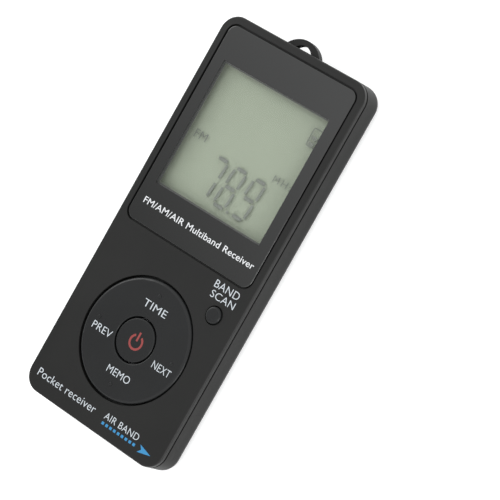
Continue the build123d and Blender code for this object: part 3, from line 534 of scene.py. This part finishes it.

# %% [markdown]
# ## Legends
# Words are Blender text turned into thin solids. Each one is fitted to a place: its left and right ends,
# its baseline and the height of its capitals. A little offset makes the strokes bolder. Only plain words
# are used.

# %% Legend helper
def legend(name, words, left, right, base, cap, top_z, material, body, weight=0.0, spacing=1.03):
    """Text from `left` to `right`, with capitals `cap` high, on `base`. Millimetres, but top_z in metres."""
    curve = bpy.data.curves.new(name, "FONT")
    curve.body = words
    curve.extrude = 0.5
    curve.offset = weight
    curve.resolution_u = 5
    curve.space_character = spacing
    holder = bpy.data.objects.new(name + "_text", curve)
    bpy.context.scene.collection.objects.link(holder)
    bpy.context.view_layer.update()
    mesh = bpy.data.meshes.new_from_object(holder.evaluated_get(bpy.context.evaluated_depsgraph_get()))
    bpy.data.objects.remove(holder)
    xs = [v.co.x for v in mesh.vertices]
    stretch = (right - left) * MM / (max(xs) - min(xs))
    rise = cap * MM / CAPITAL
    for v in mesh.vertices:
        v.co = Vector((left * MM + (v.co.x - min(xs)) * stretch, base * MM + v.co.y * rise,
                       top_z + (INK if v.co.z > 0 else -INK)))
    mesh.name = name
    return new_piece(name, mesh, material, body)


def capital_height():
    """The height of a capital in the built-in font, at size 1."""
    curve = bpy.data.curves.new("capital", "FONT")
    curve.body = "E"
    holder = bpy.data.objects.new("capital", curve)
    bpy.context.scene.collection.objects.link(holder)
    bpy.context.view_layer.update()
    height = holder.dimensions.y
    bpy.data.objects.remove(holder)
    return height


CAPITAL = capital_height()
print(f"a capital is {CAPITAL:.3f} high at size 1")

# %% Legends on the dial, the lens and the case
BOLD = 0.004
THIN = -0.006
for word, left, right, base, cap in (
    ("TIME", -2.9, 4.1, -18.55, 1.75),
    ("PREV", -12.0, -6.1, -29.2, 1.75),
    ("NEXT", 7.1, 12.5, -29.35, 1.75),
    ("MEMO", -2.8, 4.1, -35.7, 1.75),
):
    legend("legend_" + word.lower(), word, left, right, base, cap, DIAL_TOP, white_ink, "dial", THIN)
for word, left, right, base, cap in (
    ("BAND", 10.9, 18.1, -6.35, 1.8),
    ("SCAN", 11.2, 18.2, -8.65, 1.7),
    ("Pocket receiver", -18.6, -0.1, -45.5, 1.9),
    ("AIR BAND", 2.8, 13.4, -45.0, 1.6),
):
    name = "legend_" + word.lower().replace(" ", "_")
    legend(name, word, left, right, base, cap, SHELL_Z, white_ink, "case", THIN)
legend("legend_bands", "FM/AM/AIR Multiband Receiver", -16.4, 17.5, 1.28, 1.5, LENS_HIGH.z,
       lens_ink, "case", BOLD)

# %% [markdown]
# The power symbol is an open ring with a bar through the gap, in red. The ring is a band between two arcs,
# closed at both ends, and the bar is a rounded box.

# %% Power symbol
def open_ring(cx, cy, inner, outer, gap_degrees, low, high, steps=40):
    """A closed band round a circle, open at the top by `gap_degrees`."""
    start = math.radians(90 + gap_degrees / 2)
    sweep = math.radians(360 - gap_degrees)
    loop = []
    for radius, order in ((outer, range(steps + 1)), (inner, range(steps, -1, -1))):
        for step in order:
            angle = start + sweep * step / steps
            loop.append((cx + radius * math.cos(angle), cy + radius * math.sin(angle)))
    count = len(loop)
    points = [(x, y, z) for z in (low, high) for x, y in loop]
    faces = [(i, (i + 1) % count, count + (i + 1) % count, count + i) for i in range(count)]
    for i in range(steps):
        j = count - 1 - i
        faces.append((count + i, count + i + 1, count + j - 1, count + j))
        faces.append((j, j - 1, i + 1, i))
    mesh = bpy.data.meshes.new("open_ring")
    mesh.from_pydata(points, [], faces)
    return mesh


SYMBOL = Vector((0.45 * MM, DIAL.y - 0.3 * MM, POWER_HIGH.z))
RING_INNER, RING_OUTER, RING_GAP = 1.42 * MM, 1.95 * MM, 62
BAR_RISE, BAR_HALF_X, BAR_HALF_Y, BAR_CORNER = 1.35 * MM, 0.26 * MM, 1.1 * MM, 0.1 * MM
symbol_low, symbol_high = SYMBOL.z - INK, SYMBOL.z + INK
ring_mesh = open_ring(SYMBOL.x, SYMBOL.y, RING_INNER, RING_OUTER, RING_GAP, symbol_low, symbol_high)
bar_mesh = prism([rounded_box(SYMBOL.x, SYMBOL.y + BAR_RISE, BAR_HALF_X, BAR_HALF_Y, BAR_CORNER)],
                 symbol_low, symbol_high)
new_piece("power_symbol_ring", ring_mesh, red_ink, "power")
new_piece("power_symbol_bar", bar_mesh, red_ink, "power")
print("power symbol at", [round(c / MM, 2) for c in SYMBOL])

# %% [markdown]
# ## Bars that repeat
# The display's digits, the battery's cells and the row of blue dashes are all one shape, a small rounded
# bar, laid at many places. A Geometry Nodes tree makes the bar once and puts it on every point of a mesh,
# turned by the point's `turn` attribute. A distance from bar to bar would be simpler, but points allow
# slanted digits too.

# %% The bar tree
def bar_tree():
    tree = bpy.data.node_groups.new("rounded_bars", "GeometryNodeTree")
    face = tree.interface
    face.new_socket("Points", in_out="INPUT", socket_type="NodeSocketGeometry")
    for name in ("Length", "Width", "Corner", "Thickness"):
        face.new_socket(name, in_out="INPUT", socket_type="NodeSocketFloat")
    face.new_socket("Finish", in_out="INPUT", socket_type="NodeSocketMaterial")
    face.new_socket("Bars", in_out="OUTPUT", socket_type="NodeSocketGeometry")
    add, link = tree.nodes.new, tree.links.new
    given = add("NodeGroupInput")
    made = add("NodeGroupOutput")
    outline = add("GeometryNodeCurvePrimitiveQuadrilateral")
    link(given.outputs["Length"], outline.inputs["Width"])
    link(given.outputs["Width"], outline.inputs["Height"])
    rounded = add("GeometryNodeFilletCurve")
    rounded.mode = "POLY"
    rounded.inputs["Count"].default_value = 5
    link(outline.outputs["Curve"], rounded.inputs["Curve"])
    link(given.outputs["Corner"], rounded.inputs["Radius"])
    filled = add("GeometryNodeFillCurve")
    filled.mode = "NGONS"
    link(rounded.outputs["Curve"], filled.inputs["Curve"])
    raised = add("GeometryNodeExtrudeMesh")
    link(filled.outputs["Mesh"], raised.inputs["Mesh"])
    link(given.outputs["Thickness"], raised.inputs["Offset Scale"])
    under = add("GeometryNodeFlipFaces")
    link(filled.outputs["Mesh"], under.inputs["Mesh"])
    whole = add("GeometryNodeJoinGeometry")
    link(raised.outputs["Mesh"], whole.inputs["Geometry"])
    link(under.outputs["Mesh"], whole.inputs["Geometry"])
    sealed = add("GeometryNodeMergeByDistance")
    sealed.inputs["Distance"].default_value = 0.0005 * MM
    link(whole.outputs["Geometry"], sealed.inputs["Geometry"])
    turn = add("GeometryNodeInputNamedAttribute")
    turn.data_type = "FLOAT"
    turn.inputs["Name"].default_value = "turn"
    about = add("ShaderNodeCombineXYZ")
    link(turn.outputs["Attribute"], about.inputs["Z"])
    placed = add("GeometryNodeInstanceOnPoints")
    link(given.outputs["Points"], placed.inputs["Points"])
    link(sealed.outputs["Geometry"], placed.inputs["Instance"])
    link(about.outputs["Vector"], placed.inputs["Rotation"])
    real = add("GeometryNodeRealizeInstances")
    link(placed.outputs["Instances"], real.inputs["Geometry"])
    coated = add("GeometryNodeSetMaterial")
    link(real.outputs["Geometry"], coated.inputs["Geometry"])
    link(given.outputs["Finish"], coated.inputs["Material"])
    link(coated.outputs["Geometry"], made.inputs["Bars"])
    return tree


BARS = bar_tree()


def lay_bars(name, places, length, width, corner, thickness, z, material, body, slot, onto=Matrix()):
    """Rounded bars at (x, y, turn) places, in millimetres and degrees, as one mesh, turned `onto` a side."""
    mesh = bpy.data.meshes.new(name + "_points")
    mesh.from_pydata([(x * MM, y * MM, z) for x, y, _ in places], [], [])
    turns = mesh.attributes.new("turn", "FLOAT", "POINT")
    turns.data.foreach_set("value", [math.radians(turn) for _, _, turn in places])
    holder = bpy.data.objects.new(name + "_points", mesh)
    modifier = holder.modifiers.new("bars", "NODES")
    modifier.node_group = BARS
    sockets = {item.name: item.identifier for item in BARS.interface.items_tree if item.in_out == "INPUT"}
    for socket, value in (("Length", length * MM), ("Width", width * MM), ("Corner", corner * MM),
                          ("Thickness", thickness * MM), ("Finish", material)):
        modifier[sockets[socket]] = value
    bpy.context.scene.collection.objects.link(holder)
    bpy.context.view_layer.update()
    made = bpy.data.meshes.new_from_object(holder.evaluated_get(bpy.context.evaluated_depsgraph_get()))
    holder.modifiers.clear()
    bpy.data.objects.remove(holder)
    made.name = name
    made.transform(onto)
    print(f"{name}: {len(places)} bars, {len(made.polygons)} faces")
    return new_piece(name, made, material, body)

# %% [markdown]
# ## What the display shows
# A seven-segment digit is three level bars and four upright ones, and the whole digit leans a little to the
# right. A segment stands a little off the film behind, so its shadow falls beside it.

# %% Display ink and segments
lcd_ink = ink("display_ink", (0.148, 0.157, 0.144), 0.6)
faint_ink = ink("display_ink_faint", (0.168, 0.178, 0.159), 0.6)
SEGMENTS = {"7": "ABC", "8": "ABCDEFG", "9": "ABCDFG"}
DIGIT_RISE = 9.6
DIGIT_HALF = 1.7
LEAN = 5.6
LEVEL_AT = {"A": 1.0, "G": 0.5, "D": 0.0}
UPRIGHT_AT = {"B": (1, 0.75), "C": (1, 0.25), "E": (-1, 0.25), "F": (-1, 0.75)}
DIGIT_BASE = WINDOW.y / MM - WINDOW_SIDE / MM / 2 + 2.16


def segment_places(character, x):
    """Where a digit's lit level and upright bars go."""
    level, upright = [], []
    for letter in SEGMENTS[character]:
        side, share = UPRIGHT_AT.get(letter, (0, LEVEL_AT.get(letter)))
        y = DIGIT_BASE + DIGIT_RISE * share
        leaned = x + side * DIGIT_HALF + (y - DIGIT_BASE) * math.tan(math.radians(LEAN))
        if side:
            upright.append((leaned, y, 90 - LEAN))
        else:
            level.append((leaned, y, 0.0))
    return level, upright


level_bars, upright_bars = [], []
for character, x in (("7", -5.32), ("8", 0.36), ("9", 6.12)):
    level, upright = segment_places(character, x)
    level_bars += level
    upright_bars += upright
SEGMENT_THICK = 0.02
ON_DISPLAY = (SEGMENT_THICK, CRYSTAL_Z, lcd_ink, "case", "polariser")
lay_bars("display_level_bars", level_bars, 2.7, 0.86, 0.32, *ON_DISPLAY)
lay_bars("display_upright_bars", upright_bars, 3.6, 0.7, 0.26, *ON_DISPLAY)
lay_bars("display_point", [(3.28, DIGIT_BASE - 0.1, 0.0)], 0.66, 0.66, 0.26, *ON_DISPLAY)

# %% [markdown]
# Beside the digits are the band, the unit, and a battery with two of its cells lit.

# %% Battery mark and units
BATTERY_X, BATTERY_Y = 13.55, 33.25
BATTERY_HALF_X, BATTERY_HALF_Y, BATTERY_LINE = 1.3, 2.25, 0.24
lay_bars("display_battery_cells", [(BATTERY_X, BATTERY_Y - 1.5, 0.0), (BATTERY_X, BATTERY_Y - 0.05, 0.0)],
         1.5, 0.9, 0.1, SEGMENT_THICK, CRYSTAL_Z, faint_ink, "case", "polariser")
outlines = [rounded_box(BATTERY_X * MM, BATTERY_Y * MM, (BATTERY_HALF_X - inset) * MM,
                        (BATTERY_HALF_Y - inset) * MM, (0.5 - inset) * MM) for inset in (0.0, BATTERY_LINE)]
new_piece("display_battery_outline", prism(outlines, CRYSTAL_Z, CRYSTAL_Z + SEGMENT_THICK * MM), lcd_ink,
          "case")
FINE = -0.009
WIDE_SPACING = 1.3
display_top = CRYSTAL_Z + INK
legend("display_fm", "FM", -14.6, -11.0, 19.95, 2.05, display_top, lcd_ink, "case", FINE)
legend("display_mhz", "MHz", 9.45, 15.2, 20.22, 1.66, display_top, lcd_ink, "case", FINE,
       WIDE_SPACING)

# %% [markdown]
# ## Blue dashes
# A row of small blue squares under the band name ends in a plain arrowhead.

# %% Dashes and arrowhead
DASHES, DASH_STEP, DASH_START, DASH_Y = 9, 1.22, 3.3, -46.05
lay_bars("blue_dashes", [(DASH_START + DASH_STEP * i, DASH_Y, 0.0) for i in range(DASHES)], 0.72, 0.66, 0.05,
         0.015, SHELL_Z, blue_ink, "case", "case_front")
arrow = [(14.6, -47.0), (18.3, DASH_Y), (14.6, -45.1), (15.4, DASH_Y)]
arrow_mesh = prism([[(x * MM, y * MM) for x, y in arrow]], SHELL_Z - INK, SHELL_Z + INK)
new_piece("blue_arrowhead", arrow_mesh, blue_ink, "case")

# %% [markdown]
# ## Grips on the side
# The keys in the left wall are used by feel. The lock slider has ridges across its way of travel, and the
# volume keys carry a plus and a minus. The same tree lays these bars, and a matrix then turns them onto the
# left wall, so that their own X runs down the case and their own Y runs up towards the face.

# %% Ridges and key marks
LEFT_WALL = Matrix(((0, 0, -1, 0), (-1, 0, 0, 0), (0, 1, 0, 0), (0, 0, 0, 1)))
slider_low, slider_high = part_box("lock_slider")
knob_y, knob_z = (slider_low.y + slider_high.y) / 2 / MM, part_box("volume_up_key")[0].z / MM + 1.7
RIDGES = 5
RIDGE_STEP = 0.7
ridges = [(-knob_y + RIDGE_STEP * (i - (RIDGES - 1) / 2), knob_z, 90.0) for i in range(RIDGES)]
lay_bars("lock_slider_ridges", ridges, 1.5, 0.26, 0.1, 0.14, -slider_low.x - 0.02 * MM, key_plastic, "lock",
         "side_key", LEFT_WALL)
MARK = 1.3
for node, body, turns in (
    ("volume_up_key", "volume_up", (0.0, 90.0)),
    ("volume_down_key", "volume_down", (0.0,)),
):
    low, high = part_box(node)
    middle = -(low.y + high.y) / 2 / MM
    lay_bars(node + "_mark", [(middle, knob_z, turn) for turn in turns], MARK, 0.24, 0.08, 0.02,
             -low.x - 0.01 * MM, white_ink, body, "side_key", LEFT_WALL)

# %% [markdown]
# ## Floor, light and camera
# The radio lies on a pale table that glows faintly. The room is white, with one dim patch high on the left,
# near where the face mirrors the camera's view. A soft lamp on the left gives the display its edge shadow, and
# one lower on the right lights the side wall and the dial's bevel.

# %% Floor
TABLE_HALF = 3.0
TABLE_GLOW = 0.32
TABLE_GAP = 0.02 * MM


def pale_floor():
    material, tree, shader = start_material("pale_table", (0.78, 0.78, 0.78), 0.9, specular=0.2)
    tone = ramp(tree, noise(tree, 60 * MM), (0.77, 0.77, 0.77), (0.80, 0.80, 0.80))
    tree.links.new(tone, shader.inputs["Base Color"])
    shader.inputs["Emission Color"].default_value = (1.0, 1.0, 1.0, 1.0)
    shader.inputs["Emission Strength"].default_value = TABLE_GLOW
    mesh = bpy.data.meshes.new("table")
    corners = [(-TABLE_HALF, -TABLE_HALF, 0), (TABLE_HALF, -TABLE_HALF, 0),
               (TABLE_HALF, TABLE_HALF, 0), (-TABLE_HALF, TABLE_HALF, 0)]
    mesh.from_pydata(corners, [], [(0, 1, 2, 3)])
    mesh.materials.append(material)
    table = bpy.data.objects.new("table", mesh)
    bpy.context.scene.collection.objects.link(table)
    table.location.z = cad_box[0][2] - TABLE_GAP
    return table


pale_floor()

# %% Room and lamps
scene = bpy.context.scene
world = bpy.data.worlds.new("white_room")
world.use_nodes = True
sky = world.node_tree
sky.nodes["Background"].inputs["Color"].default_value = (0.985, 0.995, 1.0, 1.0)
DARK_CORNER = Vector((-0.65, -0.3, 0.7)).normalized()
toward = sky.nodes.new("ShaderNodeTexCoord")
nearness = sky.nodes.new("ShaderNodeVectorMath")
nearness.operation = "DOT_PRODUCT"
nearness.inputs[1].default_value = DARK_CORNER
fade = sky.nodes.new("ShaderNodeMapRange")
PATCH_EDGE, PATCH_CORE = 0.931, 0.967
ROOM_BRIGHT, PATCH_DIM = 1.5, 0.4
fade.inputs["From Min"].default_value = PATCH_EDGE
fade.inputs["From Max"].default_value = PATCH_CORE
fade.inputs["To Min"].default_value = ROOM_BRIGHT
fade.inputs["To Max"].default_value = PATCH_DIM
sky.links.new(toward.outputs["Generated"], nearness.inputs[0])
sky.links.new(nearness.outputs["Value"], fade.inputs["Value"])
sky.links.new(fade.outputs["Result"], sky.nodes["Background"].inputs["Strength"])
scene.world = world
scene.view_settings.view_transform = "Standard"


def soft_lamp(name, place, aim, side, watts):
    lamp = bpy.data.lights.new(name, "AREA")
    lamp.shape = "SQUARE"
    lamp.size = side
    lamp.energy = watts
    holder = bpy.data.objects.new(name, lamp)
    holder.location = place
    holder.rotation_euler = (Vector(aim) - Vector(place)).to_track_quat("-Z", "Y").to_euler()
    bpy.context.scene.collection.objects.link(holder)
    return holder


soft_lamp("left_lamp", (-0.8, 0.25, 0.5), (0, 0, 0), 0.4, 3.0)
soft_lamp("right_lamp", (0.9, -0.25, 0.35), (0, 0, 0), 0.4, 4.5)

# %% [markdown]
# The camera looks down at the face from the right with a long lens, and is rolled so that the radio leans.

# %% Camera
CAMERA_FROM = Vector((0.2833, 0.0435, FACE_Z + 0.4621))
CAMERA_TO = Vector((0.01449, 0.0048, FACE_Z))
ROLL = -67.59
LENS = 174.1
camera_data = bpy.data.cameras.new("camera")
camera_data.lens = LENS
camera_data.sensor_width = 36.0
camera = bpy.data.objects.new("camera", camera_data)
aim = (CAMERA_TO - CAMERA_FROM).to_track_quat("-Z", "Y").to_matrix().to_4x4()
camera.matrix_world = Matrix.Translation(CAMERA_FROM) @ aim @ Matrix.Rotation(math.radians(ROLL), 4, "Z")
scene.collection.objects.link(camera)
scene.camera = camera
